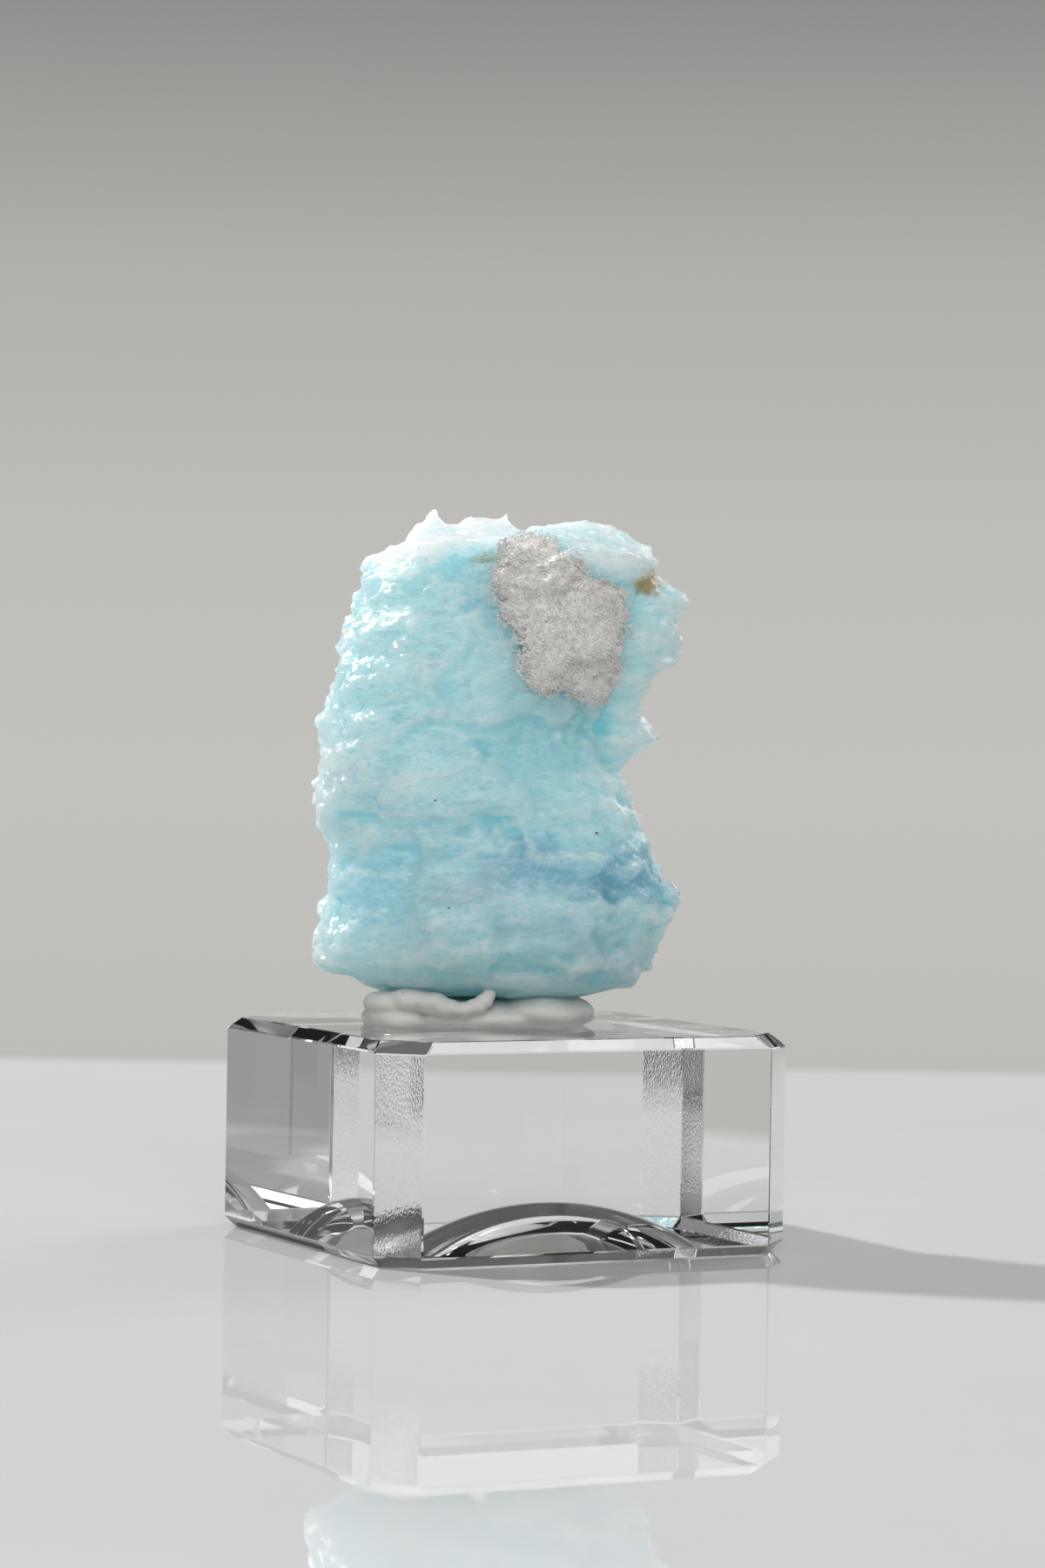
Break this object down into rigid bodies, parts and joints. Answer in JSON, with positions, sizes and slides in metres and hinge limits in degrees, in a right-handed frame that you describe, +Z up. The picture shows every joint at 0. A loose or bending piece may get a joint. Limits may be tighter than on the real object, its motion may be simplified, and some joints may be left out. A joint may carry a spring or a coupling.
{
  "type": "etched aquamarine crystal on display block",
  "caption": "Etched translucent aquamarine crystal with a white sugary crust, set in putty on a clear bevelled glass block.",
  "frame": {"origin": "middle of the glass block's underside, on the surface it stands on", "axes": "+Z up, X and Y square to the block's faces; the crystal's broad side looks along -Y turned 25.9 degrees towards -X"},
  "size_m": [0.05, 0.05, 0.0822],
  "materials": {
    "glass": "clear, polished, with unpolished corner facets",
    "mineral_tack": "satin white putty",
    "aquamarine": "translucent, silky, etched",
    "albite_crust": "sugary, matt"
  },
  "bodies": {
    "root": {"glass_block": "glass", "mineral_tack": "mineral_tack", "aquamarine_crystal": "aquamarine", "white_crust": "albite_crust"}
  },
  "joints": []
}
